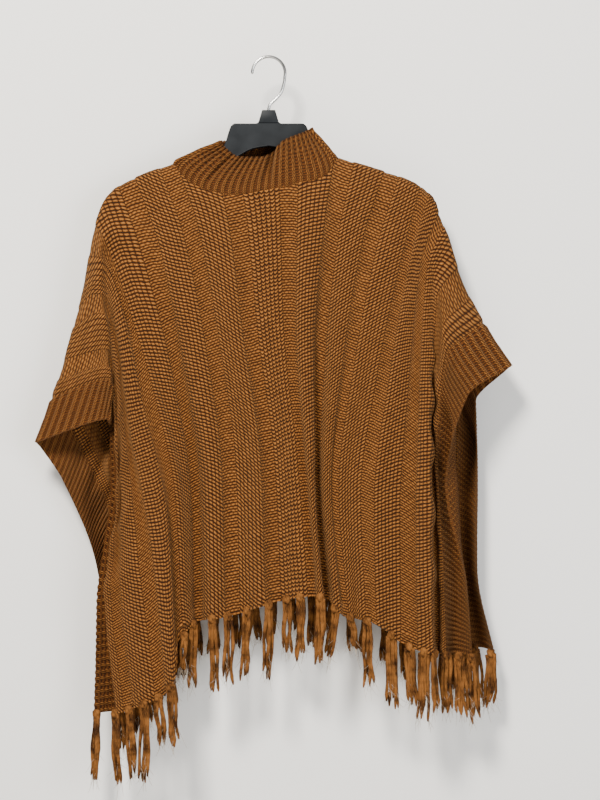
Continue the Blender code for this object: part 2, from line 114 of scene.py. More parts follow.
def noise(tree, place, scale, detail=2.0, rough=0.5):
    node = tree.nodes.new("ShaderNodeTexNoise")
    node.inputs["Scale"].default_value = scale
    node.inputs["Detail"].default_value = detail
    node.inputs["Roughness"].default_value = rough
    tree.links.new(place, node.inputs["Vector"])
    return node.outputs["Fac"]


def spread(tree, value, low, high, to_low, to_high):
    node = tree.nodes.new("ShaderNodeMapRange")
    node.inputs["From Min"].default_value = low
    node.inputs["From Max"].default_value = high
    node.inputs["To Min"].default_value = to_low
    node.inputs["To Max"].default_value = to_high
    tree.links.new(value, node.inputs["Value"])
    return node.outputs["Result"]


def ramp(tree, value, stops):
    node = tree.nodes.new("ShaderNodeValToRGB")
    tree.links.new(value, node.inputs["Fac"])
    points = node.color_ramp.elements
    while len(points) < len(stops):
        points.new(0.5)
    for point, (place, colour) in zip(points, stops):
        point.position = place
        point.color = (*colour, 1)
    return node.outputs["Color"]


def bumped(tree, shader, height, strength, distance):
    node = tree.nodes.new("ShaderNodeBump")
    node.inputs["Strength"].default_value = strength
    node.inputs["Distance"].default_value = distance
    tree.links.new(height, node.inputs["Height"])
    tree.links.new(node.outputs["Normal"], shader.inputs["Normal"])


def new_finish(name):
    """A material with its tree and its Principled shader."""
    finish = bpy.data.materials.new(name)
    finish.use_nodes = True
    return finish, finish.node_tree, finish.node_tree.nodes["Principled BSDF"]


def hanger_finish():
    finish, tree, shader = new_finish("satin black plastic")
    place = tree.nodes.new("ShaderNodeTexCoord").outputs["Object"]
    cloudy = noise(tree, place, 60.0, 3.0)
    fine = noise(tree, place, 1800.0, 2.0)
    tint = ramp(tree, cloudy, [(0.3, (0.004, 0.0055, 0.007)), (0.7, (0.008, 0.010, 0.012))])
    tree.links.new(tint, shader.inputs["Base Color"])
    tree.links.new(spread(tree, cloudy, 0.3, 0.7, 0.42, 0.55), shader.inputs["Roughness"])
    shader.inputs["Specular IOR Level"].default_value = 0.2
    bumped(tree, shader, fine, 0.12, 0.0003)
    return finish


def finished(thing, finish, body):
    """Gives a piece its material, body and finish slot."""
    thing.data.materials.clear()
    thing.data.materials.append(finish)
    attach(thing, body)
    return thing


def added(name, data):
    """A new object in the scene that holds this mesh, curve, lamp or camera."""
    thing = bpy.data.objects.new(name, data)
    bpy.context.scene.collection.objects.link(thing)
    return thing


def select_alone(thing):
    bpy.ops.object.select_all(action="DESELECT")
    bpy.context.view_layer.objects.active = thing
    thing.select_set(True)


def in_edit_mode(thing, *steps):
    """Runs edit-mode steps, each with its choices, on all of a piece."""
    select_alone(thing)
    bpy.ops.object.mode_set(mode="EDIT")
    bpy.ops.mesh.select_all(action="SELECT")
    for step, choices in steps:
        step(**choices)
    bpy.ops.object.mode_set(mode="OBJECT")
    thing.select_set(False)


def bevelled(thing, width, segments, angle=30):
    """Rounds the edges and shades them smooth. Large faces with many corners stay flat."""
    select_alone(thing)
    edge = thing.modifiers.new("rounded edges", "BEVEL")
    edge.width = width * MM
    edge.segments = segments
    edge.limit_method = "ANGLE"
    edge.angle_limit = math.radians(angle)
    bpy.ops.object.modifier_apply(modifier=edge.name)
    bpy.ops.object.shade_smooth_by_angle(angle=math.radians(35))
    for face in thing.data.polygons:
        if len(face.vertices) > 4:
            face.use_smooth = False
    thing.select_set(False)


def plate(name, outline, thick, y_middle=0.0):
    """A flat piece cut to an outline of (x, drop) points and drawn out to its thickness."""
    mesh = bpy.data.meshes.new(name)
    y = (y_middle - thick / 2) * MM
    mesh.from_pydata([(x * MM, y, -drop * MM) for x, drop in outline], [], [list(range(len(outline)))])
    thing = added(name, mesh)
    in_edit_mode(
        thing,
        (bpy.ops.mesh.extrude_region_move, {"TRANSFORM_OT_translate": {"value": (0, thick * MM, 0)}}),
        (bpy.ops.mesh.select_all, {"action": "SELECT"}),
        (bpy.ops.mesh.normals_make_consistent, {"inside": False}),
    )
    return thing


def hanger_outline():
    """Half of the outline from the tables, close points on the plate and wide ones on the arm, mirrored."""
    bends = [6, 8, 12, 17, 44, 49, 199]
    xs = np.unique(np.concatenate([np.arange(0, 66, 1.5), np.arange(66, 199, 5), bends]))
    bottom = eased(column(HANGER_BOTTOM, 0), column(HANGER_BOTTOM, 1), xs)
    upper = list(zip(xs, hanger_top(xs)))
    lower = list(zip(xs, bottom))[::-1]
    right = upper + lower
    left = [(-x, drop) for x, drop in right if x > 0][::-1]
    return right + left


hanger = plate("hanger_moulding", hanger_outline(), HANGER_THICK)
bevelled(hanger, HANGER_ROUND, 3)
hanger = finished(hanger, hanger_finish(), "root")
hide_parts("hanger")

neck_outline = [
    (-NECK_TOP_HALF, NECK_TOP), (NECK_TOP_HALF, NECK_TOP),
    (NECK_FOOT_HALF, NECK_FOOT), (-NECK_FOOT_HALF, NECK_FOOT),
]
neck_block = plate("hanger_neck", neck_outline, NECK_THICK)
bevelled(neck_block, NECK_ROUND, 3)
finished(neck_block, hanger.data.materials[0], "root")


def bead_route():
    """Along the arch under the plate, from arm to arm, on the front face."""
    xs = np.linspace(-BEAD_REACH, BEAD_REACH, 57)
    drop = eased(column(HANGER_BOTTOM, 0), column(HANGER_BOTTOM, 1), np.abs(xs)) - BEAD_ABOVE
    return [(x, -HANGER_THICK / 2 - 0.1, d) for x, d in zip(xs, drop)]


def round_rod(name, route, radius, sides=16, ends=None):
    """A round bar along a route of (x, y, drop) points, made a mesh with its ends closed."""
    curve = bpy.data.curves.new(name, "CURVE")
    curve.dimensions = "3D"
    curve.bevel_depth = radius * MM
    curve.bevel_resolution = sides // 4
    curve.use_fill_caps = True
    spline = curve.splines.new("POLY")
    spline.points.add(len(route) - 1)
    for k, (x, y, drop) in enumerate(route):
        spline.points[k].co = (x * MM, y * MM, -drop * MM, 1)
        spline.points[k].radius = ends(k, len(route)) if ends else 1
    select_alone(added(name, curve))
    bpy.ops.object.convert(target="MESH")
    thing = bpy.context.object
    bpy.ops.object.shade_smooth_by_angle(angle=math.radians(50))
    thing.select_set(False)
    return thing


bead = round_rod("hanger_arch_bead", bead_route(), BEAD_RADIUS, 12)
finished(bead, hanger.data.materials[0], "root")

# The hook is one bent steel wire, chromed, about 4 mm thick. It comes up out of the neck, leans out to
# the right, turns over the top in a round bow and ends in a rounded tip on the left. Fine drawing
# marks and a little dulling run along it.
WIRE_RADIUS = 1.9
HOOK_RADIUS = 21.5
HOOK_CENTRE = 19.75
WIRE_FOOT = 70.0


def hook_route():
    """Up from the neck through its bends, then round the bow."""
    low = [(0, WIRE_FOOT), (0, 66), (1, 62), (4, 58.5), (7.2, 55.7), (10.2, 52.8), (13.2, 49.6), (15.7, 46),
           (17.6, 42), (18.9, 37.5), (20, 33), (20.9, 28.5)]
    bow = []
    for k in range(46):
        angle = math.radians(-14 + k * 4.4)
        bow.append((HOOK_RADIUS * math.cos(angle), HOOK_CENTRE - HOOK_RADIUS * math.sin(angle)))
    return [(x, 0, drop) for x, drop in low + bow]


def rounded_tip(k, count):
    """The tip closes over its last two points."""
    left = count - 1 - k
    return {0: 0.25, 1: 0.9}.get(left, 1)


def hook_finish():
    finish, tree, shader = new_finish("chromed wire")
    place = tree.nodes.new("ShaderNodeTexCoord").outputs["Object"]
    drawn = noise(tree, place, 900.0, 3.0, 0.6)
    dull = noise(tree, place, 120.0, 2.0)
    tint = ramp(tree, dull, [(0.3, (0.50, 0.49, 0.47)), (0.7, (0.66, 0.65, 0.63))])
    tree.links.new(tint, shader.inputs["Base Color"])
    tree.links.new(spread(tree, drawn, 0.3, 0.7, 0.16, 0.3), shader.inputs["Roughness"])
    shader.inputs["Metallic"].default_value = 1.0
    bumped(tree, shader, drawn, 0.08, 0.0002)
    return finish


wire = round_rod("hook_wire", hook_route(), WIRE_RADIUS, 20, rounded_tip)
hook = finished(wire, hook_finish(), "root")
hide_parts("hook")

# The back is a wide rectangle of thick wool-like yarn, knitted in plain and purl columns 64 mm apart,
# folded over the hanger's arms at the shoulders. The hem is cast on thick, and tassels hang from it.
# In the tables u is the place across the cut from its middle, and t the distance down the cloth from the
# shoulder. The front's tables are laid out in the same way.
PANEL_HALF = 384.0
BAND_WIDTH = 65.0
HALF_WIDTH = PANEL_HALF + BAND_WIDTH
LENGTH = 600.0
WALL = 2.6
NECK_HALF = 87.0
FRONT_SCOOP = 75.0
BACK_SCOOP = 40.0
COLUMN_PITCH = 64.0
STITCH = COLUMN_PITCH / 11     # seven plain stitches and four purl
ROW = 3.7                      # height of one row of stitches
PURL_HALF = 2 * STITCH
HEM_END = 595.0
HEM_ROLL = 18.0
CROWN = 8.0
SEAT = WALL / 2 + 1.2
REST_FROM = 148.0
REST_TO = 204.0
TURN_ROUND = 16.0
TUCK_DIVE = 28.0
TUCK_RETURN = 130.0
CHEST = 250.0
WAIST = 420.0
VALLEY_WIDTH = 13.0
VALLEY_FULL = 240.0
CALM_BELOW_NECK = 55.0

# Shoulder line: u, x, drop
SHOULDER = [
    (-449, -304, 504), (-384, -283, 446), (-330, -263, 384), (-288, -252, 342), (-256, -240, 299),
    (-224, -231, 238), (-192, -214, 188), (-160, -184, 161), (-96, -132, 142), (-32, -66, 114),
    (32, 25, 101), (96, 99, 134), (160, 161, 152.5), (192, 185, 160), (224, 204, 173), (256, 216, 188),
    (288, 225, 212), (320, 236, 242), (352, 254, 295), (384, 280, 347), (449, 317, 404),
]
# Run of each column of the back: u, t and (x, drop) at the turn, then (x, drop) at chest, waist, hem
BACK_RUN = [
    (-449, 60, -272, 552, -229, 660, -214, 750, -201, 831),
    (-384, 60, -253, 500, -206, 611, -190, 721, -180, 823),
    (-320, 60, -232, 429, -183, 565, -164, 695, -157, 802),
    (-256, 60, -219, 357, -159, 520, -141, 656, -133, 773),
    (-160, 60, -167, 225, -128, 416, -109, 565, -97, 724),
    (-96, 60, -118, 199, -79, 377, -60, 540, -53, 710),
    (0, 60, -6, 170, 0, 358, 8, 520, 20, 694),
    (96, 60, 88, 195, 70, 377, 70, 540, 86, 702),
    (160, 60, 142, 217, 114, 399, 106, 559, 129, 718),
    (256, 60, 203, 247, 184, 436, 181, 592, 203, 755),
    (320, 60, 231, 299, 223, 462, 223, 618, 239, 768),
    (384, 60, 257, 397, 249, 514, 246, 650, 265, 778),
    (449, 60, 272, 450, 275, 550, 274, 666, 298, 787),
]
# Depth of its folds: u, then y at the turn, chest, waist and hem, and the tuck at the sleeve
BACK_FOLDS = [
    (-449, 12, 20, 16, 14, 0), (-384, 14, 26, 26, 24, 0), (-320, 12, 18, 18, 20, 0),
    (-256, 12, 26, 34, 36, 0), (-190, 12, 18, 20, 25, 0), (-128, 14, 25, 31, 33, 0),
    (-66, 14, 19, 17, 18, 0), (-8, 14, 24, 32, 34, 0), (58, 14, 18, 18, 16, 0),
    (120, 14, 25, 30, 34, 0), (186, 13, 18, 17, 16, 0), (250, 13, 26, 32, 35, 0),
    (320, 12, 18, 17, 18, 0), (384, 14, 25, 24, 22, 0), (449, 10, 16, 14, 14, 0),
]
# How far each purl column of the back folds in, from left to right
BACK_DEPTHS = [8, 10, 9, 11, 9, 10, 11, 9, 10, 11, 9, 8]
# Soft creases of the back: u, t, half width, half length, height, lean across as it runs down.
# The last ones lie across the sides, where the cloth hangs slack under the sleeves.
BACK_CREASES = [
    (-250, 120, 14, 70, 3.4, 0.2), (-170, 90, 12, 60, -3.0, 0.3), (-60, 160, 16, 90, 3.0, -0.1),
    (90, 130, 14, 80, 3.4, 0.1), (190, 110, 12, 60, -3.0, -0.3), (280, 150, 14, 70, 3.6, -0.2),
    (-120, 400, 20, 120, 3.0, 0.1), (150, 420, 20, 120, 3.2, -0.1), (20, 330, 12, 60, -2.6, 0.1),
    (-345, 90, 60, 13, 6.5, 0), (-350, 145, 64, 14, 7.5, 0), (-340, 205, 58, 14, 6.5, 0),
    (-352, 270, 60, 15, 7.0, 0), (-344, 345, 56, 16, 6.0, 0), (-350, 430, 54, 17, 5.0, 0),
    (345, 95, 58, 13, 6.0, 0), (352, 155, 62, 14, 7.0, 0), (340, 220, 56, 14, 6.0, 0),
    (350, 295, 58, 15, 6.5, 0), (344, 380, 54, 16, 5.5, 0), (350, 470, 50, 17, 4.5, 0),
]


def shoulder(u):
    """Place of the folded edge: over the hanger it lies on the hanger, beyond it the sleeve hangs."""
    knots = column(SHOULDER, 0)
    x = eased(knots, column(SHOULDER, 1), u)
    hung = eased(knots, column(SHOULDER, 2), u)
    resting = hanger_top(x) - SEAT
    off = np.abs(x)
    rests = np.clip((off - REST_FROM) / 20, 0, 1) * np.clip((REST_TO - off) / 8, 0, 1)
    return x, resting * rests + hung * (1 - rests)


def column_points(side, u, ts):
    """Middle of the wall along one knitted column of the front (side -1) or the back (side 1)."""
    run, folds = (FRONT_RUN, FRONT_FOLDS) if side < 0 else (BACK_RUN, BACK_FOLDS)
    run_at = [float(eased(column(run, 0), column(run, i), u)) for i in range(1, 10)]
    turn, chest, waist, hem, tuck = [float(eased(column(folds, 0), column(folds, i), u)) for i in range(1, 6)]
    top_x, top_drop = shoulder(u)
    stations = [0, run_at[0], CHEST, WAIST, LENGTH]
    rising = min(max((float(top_drop) - run_at[2] + 20) / 40, 0), 1)
    round_off = rising * min(TURN_ROUND, run_at[0] / 2)
    drop_stations = [0, run_at[0] - round_off, CHEST, WAIST, LENGTH]
    ts = np.asarray(ts, float)
    quarter = CROWN * math.pi / 2
    angle = np.clip(ts / CROWN, 0, math.pi / 2)
    flat = np.where(ts < quarter, CROWN * (1 - np.cos(angle)), ts - quarter + CROWN)
    flat = flat * LENGTH / (LENGTH - quarter + CROWN)
    x = eased(stations, [float(top_x), run_at[1], run_at[3], run_at[5], run_at[7]], flat)
    drop = eased(drop_stations, [float(top_drop), run_at[2], run_at[4], run_at[6], run_at[8]], flat)
    y = eased(stations, [side * CROWN, turn, chest, waist, hem], flat)
    y = y - side * CROWN * (1 - np.sin(angle))
    past = flat - run_at[0]
    dive = np.clip((past + TUCK_DIVE / 4) / TUCK_DIVE, 0, 1)
    easing = np.clip(1 - past / TUCK_RETURN, 0, 1)
    y = y + tuck * dive * dive * (3 - 2 * dive) * easing * easing * (3 - 2 * easing)
    return np.stack([x, y, -drop], axis=-1)


def sheet_points(side, us, ts):
    """Middle points and outward directions of the cloth, as rows down and columns across."""
    step = 3.0
    middle = np.zeros((*ts.shape, 3))
    outward = np.zeros_like(middle)
    for j, u in enumerate(us):
        down = ts[:, j]
        middle[:, j] = column_points(side, u, down)
        below = column_points(side, u, np.minimum(down + step, LENGTH))
        above = column_points(side, u, np.maximum(down - step, 0))
        left = column_points(side, max(u - step, -HALF_WIDTH), down)
        right = column_points(side, min(u + step, HALF_WIDTH), down)
        facing = np.cross(right - left, above - below) * -side
        facing[down == 0, 1] = 0
        outward[:, j] = facing / np.linalg.norm(facing, axis=1, keepdims=True)
    return middle, outward


def creases(table, us, ts):
    """Height of the soft creases laid over the cloth."""
    height = np.zeros(np.broadcast(us, ts).shape)
    for u, t, half_width, half_length, rise, lean in table:
        along = (ts - t) / half_length
        across = (us - u - lean * (ts - t)) / half_width
        height += rise * np.exp(-along ** 2 - across ** 2)
    return height


def bend(side, us, ts):
    """How far the cloth itself folds: in along the purl columns, more towards the hem, and in creases."""
    depths = FRONT_DEPTHS if side < 0 else BACK_DEPTHS
    table = FRONT_CREASES if side < 0 else BACK_CREASES
    off = ((us / COLUMN_PITCH) % 1 - 0.5) * COLUMN_PITCH
    number = np.clip(np.floor((us + PANEL_HALF) / COLUMN_PITCH), 0, len(depths) - 1).astype(int)
    depth = np.array(depths, float)[number] * (np.abs(us) < PANEL_HALF)
    low = np.clip(ts / VALLEY_FULL, 0, 1)
    valley = -depth * np.exp(-(off / VALLEY_WIDTH) ** 2) * (0.35 + 0.65 * low * low * (3 - 2 * low))
    free = np.clip((ts - scoop(side, us)) / CALM_BELOW_NECK, 0, 1)
    return (valley + creases(table, us, ts)) * free * free * (3 - 2 * free)


def scoop(side, us):
    """Depth of the neckline below the shoulder line."""
    deepest = FRONT_SCOOP if side < 0 else BACK_SCOOP
    inside = np.clip(1 - (np.abs(us) / NECK_HALF) ** 2.2, 0, 1)
    return deepest * np.sqrt(inside)


def unevenness(us, ts, seed, size):
    """Hand-made unevenness: a smooth random height for each stitch or patch of stitches."""
    rng = np.random.default_rng(seed)
    grid = rng.uniform(-1, 1, (260, 260))    # wider than the cloth at the smallest patch size
    a = (us / size + 130) % 259
    b = (ts / size + 130) % 259
    i = np.floor(a).astype(int)
    j = np.floor(b).astype(int)
    p = a - i
    q = b - j
    p = p * p * (3 - 2 * p)
    q = q * q * (3 - 2 * q)
    i2 = np.minimum(i + 1, 259)
    j2 = np.minimum(j + 1, 259)
    return (grid[i, j] * (1 - p) * (1 - q) + grid[i2, j] * p * (1 - q)
            + grid[i, j2] * (1 - p) * q + grid[i2, j2] * p * q)


def panel_relief(side, us, ts):
    """Plain columns swell out, purl columns lie back, and the cast-on hem is thick and ridged."""
    off = np.abs((us / COLUMN_PITCH) % 1 - 0.5) * COLUMN_PITCH
    edge = np.clip((off - PURL_HALF + 1.6) / 3.2, 0, 1)
    plain = edge * edge * (3 - 2 * edge)
    swell = 0.5 * np.cos((off - COLUMN_PITCH / 2) / (COLUMN_PITCH / 2 - PURL_HALF) * math.pi / 2)
    height = -0.9 + 1.3 * plain + swell * plain
    hem = np.clip((ts - (HEM_END - HEM_ROLL)) / 5, 0, 1)
    ridges = 1.6 + 0.9 * np.cos((HEM_END - ts) / ROW * math.pi) + 1.2 * unevenness(us, ts, 41 + side, 8.5)
    height = height * (1 - hem) + ridges * hem
    seam = np.exp(-((PANEL_HALF - np.abs(us)) / 2.2) ** 2)
    return (height * (1 - seam) - 0.6 * seam
            + 0.4 * unevenness(us, ts, 11 + side, 5.2) + 0.5 * unevenness(us, ts, 31 + side, 27.0))


def make_shell(name, outer, inner, stitch_x, stitch_y, ring=False):
    """A closed thin wall from its outer and inner points. The UV map counts its stitches."""
    rows, cols = outer.shape[:2]
    spans = cols if ring else cols - 1
    i, j = np.meshgrid(np.arange(rows - 1), np.arange(spans), indexing="ij")
    i, j = i.ravel(), j.ravel()
    corners = []

    def quads(*points):
        corners.append(np.stack([np.stack(np.broadcast_arrays(*p), -1) for p in points], 1))

    quads((i, j, 0), (i + 1, j, 0), (i + 1, j + 1, 0), (i, j + 1, 0))
    quads((i, j, 1), (i, j + 1, 1), (i + 1, j + 1, 1), (i + 1, j, 1))
    k = np.arange(spans)
    last = rows - 1
    quads((0, k, 0), (0, k + 1, 0), (0, k + 1, 1), (0, k, 1))
    quads((last, k, 0), (last, k, 1), (last, k + 1, 1), (last, k + 1, 0))
    if not ring:
        k = np.arange(rows - 1)
        last = cols - 1
        quads((k, 0, 0), (k, 0, 1), (k + 1, 0, 1), (k + 1, 0, 0))
        quads((k, last, 0), (k + 1, last, 0), (k + 1, last, 1), (k, last, 1))
    corners = np.concatenate(corners)
    faces = corners[..., 2] * rows * cols + corners[..., 0] * cols + corners[..., 1] % cols
    points = np.concatenate([outer.reshape(-1, 3), inner.reshape(-1, 3)]) * MM
    mesh = bpy.data.meshes.new(name)
    mesh.from_pydata(points.tolist(), [], faces.tolist())
    layer = mesh.uv_layers.new(name="stitches")
    x = stitch_x[corners[..., 0], corners[..., 1]]
    y = stitch_y[corners[..., 0], corners[..., 1]]
    layer.data.foreach_set("uv", np.stack([x, y], -1).ravel())
    thing = added(name, mesh)
    shape = bmesh.new()
    shape.from_mesh(mesh)
    if shape.calc_volume(signed=True) < 0:
        bmesh.ops.reverse_faces(shape, faces=shape.faces)
    shape.to_mesh(mesh)
    shape.free()
    mesh.shade_smooth()
    mesh.set_sharp_from_angle(angle=math.radians(60))
    return thing


def knit_finish(name, repeat, purl, middle, groove, painted_gap_shade, mid, painted_crest_light, depth):
    """Knitting drawn stitch by stitch: of each repeat the first stitches are purl bars, the rest plain.

    The UV map counts stitches across and rows down. A plain stitch is a stroke of yarn that slants one
    way on the left of the middle stitch and the other way on its right. A purl one is a short bar. The
    colour follows the stitch height: painted shade deep between the stitches, a painted highlight on
    their crests, and a little random unevenness of the yarn's own colour.
    """
    finish, tree, shader = new_finish(name)
    uv = tree.nodes.new("ShaderNodeUVMap")
    uv.uv_map = "stitches"
    parts = tree.nodes.new("ShaderNodeSeparateXYZ")
    tree.links.new(uv.outputs["UV"], parts.inputs[0])
    across = parts.outputs["X"]
    wander = spread(tree, noise(tree, uv.outputs["UV"], 0.55, 2.0), 0.2, 0.8, -0.3, 0.3)
    down = calc(tree, "ADD", parts.outputs["Y"], wander)
    turn = calc(tree, "FRACT", calc(tree, "DIVIDE", across, float(repeat)))
    place = calc(tree, "MULTIPLY", turn, float(repeat))
    plain = calc(tree, "GREATER_THAN", place, float(purl))
    off = calc(tree, "MULTIPLY_ADD", calc(tree, "FRACT", across), 2.0, -1.0)
    distance = calc(tree, "ABSOLUTE", off)
    lean = spread(tree, across, middle - 5.0, middle + 5.0, -1.0, 1.0)
    upright = calc(tree, "SUBTRACT", 1.0, calc(tree, "ABSOLUTE", lean))
    slant = calc(tree, "MULTIPLY_ADD", upright, distance, calc(tree, "MULTIPLY", lean, off))
    level = calc(tree, "MULTIPLY", down, 0.75)
    stroke_row = calc(tree, "FRACT", calc(tree, "MULTIPLY_ADD", slant, 0.5, level))
    stroke = calc(tree, "POWER", calc(tree, "SINE", calc(tree, "MULTIPLY", stroke_row, math.pi)), 1.3)
    edge = calc(tree, "MULTIPLY_ADD", calc(tree, "POWER", distance, 3.0), -0.8, 1.0)
    plain_height = calc(tree, "MULTIPLY", stroke, edge)
    brick = calc(tree, "MULTIPLY_ADD", calc(tree, "FLOOR", down), 0.5, across)
    dash = calc(tree, "ABSOLUTE", calc(tree, "SINE", calc(tree, "MULTIPLY", brick, math.pi)))
    bar = calc(tree, "SINE", calc(tree, "MULTIPLY", calc(tree, "FRACT", down), math.pi))
    purl_height = calc(tree, "MULTIPLY", bar, calc(tree, "MULTIPLY_ADD", dash, 0.45 * groove, 0.5 * groove))
    blend = tree.nodes.new("ShaderNodeMix")
    tree.links.new(plain, blend.inputs["Factor"])
    tree.links.new(purl_height, blend.inputs["A"])
    tree.links.new(plain_height, blend.inputs["B"])
    fibre = spread(tree, noise(tree, uv.outputs["UV"], 4.0, 3.0, 0.7), 0.25, 0.75, -0.5, 0.5)
    height = calc(tree, "MULTIPLY_ADD", fibre, 0.3, blend.outputs["Result"])
    patchy = noise(tree, uv.outputs["UV"], 0.35, 3.0, 0.6)
    tinted = tree.nodes.new("ShaderNodeHueSaturation")
    # Painted light: the colour follows the stitch height, dark as painted shade deep between the stitches and
    # light as a painted highlight on their crests.
    tree.links.new(ramp(tree, height, [(0.12, painted_gap_shade), (0.5, mid), (0.92, painted_crest_light)]), tinted.inputs["Color"])
    tree.links.new(spread(tree, patchy, 0.25, 0.75, 0.47, 0.70), tinted.inputs["Value"])
    tree.links.new(tinted.outputs["Color"], shader.inputs["Base Color"])
    shader.inputs["Roughness"].default_value = 0.92
    shader.inputs["Specular IOR Level"].default_value = 0.15
    shader.inputs["Sheen Weight"].default_value = 0.12
    shader.inputs["Sheen Roughness"].default_value = 0.5
    shader.inputs["Sheen Tint"].default_value = (0.9, 0.55, 0.25, 1)
    bumped(tree, shader, height, 1.0, depth)
    return finish


# The yarn's colours by stitch height: painted shade between the stitches, the yarn's own mid tone, and a
# painted highlight on the crests.
YARN_PAINTED_GAP_SHADE = (0.022, 0.0055, 0.0008)
YARN_MID = (0.155, 0.046, 0.0062)
YARN_PAINTED_CREST_LIGHT = (0.48, 0.186, 0.037)
MIDDLE_STITCH = 84.5
PLAIN_AND_PURL = knit_finish(
    "mustard knit, plain and purl columns", repeat=11, purl=4, middle=MIDDLE_STITCH, groove=1.0,
    painted_gap_shade=YARN_PAINTED_GAP_SHADE, mid=YARN_MID, painted_crest_light=YARN_PAINTED_CREST_LIGHT, depth=0.0016,
)


def knit_panel(name, side, across, rows):
    """One panel of the cloth, swelling into its columns, with its wall, stitches and neckline."""
    us = np.linspace(-PANEL_HALF, PANEL_HALF, across)
    share = np.linspace(0, 1, rows)[:, None]
    ts = scoop(side, us)[None, :] * (1 - share) + HEM_END * share
    middle, outward = sheet_points(side, us, ts)
    middle[0][np.abs(us) >= NECK_HALF, 1] = side * 0.15
    folded = bend(side, us[None, :], ts)
    relief = panel_relief(side, us[None, :], ts)
    outer = middle + outward * (WALL / 2 + relief + folded)[..., None]
    inner = middle - outward * (WALL / 2 - folded)[..., None]
    first_purl = -PANEL_HALF + COLUMN_PITCH / 2 - PURL_HALF - 2 * COLUMN_PITCH
    stitch_x = np.repeat(((us - first_purl) / STITCH)[None, :], rows, axis=0)
    return make_shell(name, outer, inner, stitch_x, ts / ROW)


ACROSS = 241
DOWN = 166

back = finished(knit_panel("back_knit", 1, ACROSS, DOWN), PLAIN_AND_PURL, "root")
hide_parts("back_panel")

# The front is the same rectangle with a deeper neckline. As it hangs, its outer columns come over the
# arms and down the sleeves, then turn in and down with a deep tuck behind each sleeve, and the hem
# swings up in the middle. The knit spreads into a fan from the neck.
FRONT_RUN = [
    (-449, 110, -206, 473, -205, 560, -223, 712, -227, 863),
    (-384, 90, -204, 421, -196, 572, -212, 703, -197, 859),
    (-330, 65, -208, 372, -189, 535, -185, 682, -167, 849),
    (-288, 40, -213, 322, -180, 510, -158, 656, -137, 835),
    (-256, 28, -218, 290, -170, 481, -136, 630, -122, 818),
    (-224, 24, -216, 250, -154, 451, -124, 592, -114, 767),
    (-192, 50, -197, 236, -135, 430, -110, 579, -103, 748),
    (-160, 90, -151, 254, -118, 410, -96, 566, -92, 741),
    (-96, 90, -102, 225, -72, 377, -51, 540, -46, 733),
    (-32, 90, -42, 204, -23, 364, 0, 533, 7, 716),
    (32, 90, 27, 191, 28, 347, 42, 516, 58, 707),
    (96, 90, 83, 222, 68, 377, 63, 540, 76, 710),
    (160, 90, 132, 243, 104, 399, 86, 559, 100, 733),
    (224, 90, 180, 264, 150, 412, 128, 572, 133, 740),
    (288, 50, 202, 269, 188, 442, 180, 604, 181, 771),
    (320, 45, 214, 286, 206, 464, 206, 624, 210, 779),
    (352, 60, 222, 334, 214, 488, 218, 637, 220, 781),
    (384, 75, 231, 389, 220, 516, 227, 657, 231, 783),
    (449, 80, 258, 442, 231, 559, 258, 689, 266, 787),
]
FRONT_FOLDS = [
    (-449, -38, -2, -2, -4, 18), (-384, -36, -26, -22, -24, 10), (-330, -34, -30, -31, -34, 10),
    (-256, -28, -32, -41, -46, 10), (-190, -16, -20, -14, -14, 4), (-165, -16, -17, -10, -10, 0),
    (-125, -20, -26, -28, -28, 0), (-78, -22, -26, -20, -18, 0), (-48, -22, -30, -33, -34, 0),
    (-16, -20, -24, -22, -22, 0), (30, -22, -28, -35, -38, 0), (64, -24, -32, -40, -44, 0),
    (106, -20, -22, -20, -21, 0), (150, -18, -28, -30, -32, 0), (190, -17, -24, -24, -26, 0),
    (226, -18, -30, -34, -36, 0), (262, -18, -26, -28, -28, 0), (288, -20, -28, -32, -36, 0),
    (318, -16, -34, -44, -46, 0), (356, -32, -14, -10, -12, 0), (384, -36, -14, -12, -18, 0),
    (449, -38, -26, -20, -14, 0),
]
# How far each purl column of the front folds in, from left to right
FRONT_DEPTHS = [4, 5, 6, 7, 6, 6, 7, 8, 7, 7, 6, 4]
# Soft creases: u, t, half width, half length, height, lean across as it runs down. The last ones lie
# across the sleeves and the slack cloth under them.
FRONT_CREASES = [
    (-230, 110, 12, 60, -3.0, 0.35), (-150, 130, 12, 80, 2.4, 0.25), (-100, 120, 12, 60, -2.2, 0.2),
    (-40, 200, 14, 90, 2.2, 0.1), (40, 170, 12, 90, 2.4, 0.0), (110, 150, 12, 70, -2.4, -0.1),
    (180, 120, 14, 70, 2.6, -0.3), (250, 100, 12, 60, -2.8, -0.3), (-200, 330, 18, 120, 3.0, 0.1),
    (-60, 430, 14, 90, -2.6, 0.05), (85, 420, 12, 110, 3.4, 0.0), (150, 380, 14, 100, -2.8, -0.1),
    (230, 400, 14, 110, 2.8, -0.1), (-300, 420, 16, 100, 2.8, 0.1), (0, 540, 16, 40, 2.6, 0.0),
    (-90, 560, 14, 30, 2.4, 0.0), (140, 555, 14, 34, 2.6, 0.0), (-355, 190, 50, 14, 4.0, 0.0),
    (-345, 250, 50, 15, 4.6, 0.0), (-350, 330, 52, 16, 4.6, 0.0), (-356, 410, 50, 17, 4.0, 0.0),
    (352, 160, 50, 14, 4.8, 0.0), (356, 222, 54, 15, 5.4, 0.0), (350, 295, 50, 16, 4.6, 0.0),
    (-196, 260, 12, 170, -7.0, 0.05),
    (356, 380, 48, 17, 4.2, 0.0), (352, 470, 46, 17, 3.4, 0.0),
]

front = finished(knit_panel("front_knit", -1, ACROSS, DOWN), PLAIN_AND_PURL, "root")
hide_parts("front_panel")

